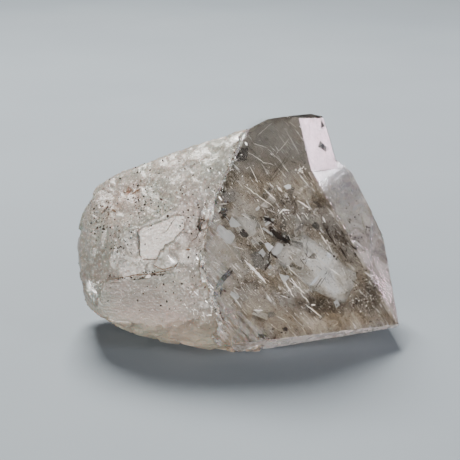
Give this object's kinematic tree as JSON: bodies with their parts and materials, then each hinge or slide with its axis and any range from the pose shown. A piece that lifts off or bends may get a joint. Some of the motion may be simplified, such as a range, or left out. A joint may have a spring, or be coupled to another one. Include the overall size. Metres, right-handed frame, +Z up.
{
  "type": "quartz crystal",
  "caption": "Loose quartz crystal lying on its side: a clear smoky end with flat faces and a point grades into a clouded, worn end; it rests on a flat underside.",
  "frame": {"origin": "on the resting plane, below the middle of the crystal's bounding box", "axes": "+X from the clouded end to the faceted end, +Z up from the resting face, -Y towards the side that the picture shows"},
  "size_m": [0.0724, 0.0426, 0.0522],
  "materials": {
    "quartz": "clear and smoky at the faceted end, clouded and worn at the other"
  },
  "bodies": {
    "root": {"quartz_crystal": "quartz"}
  },
  "joints": []
}
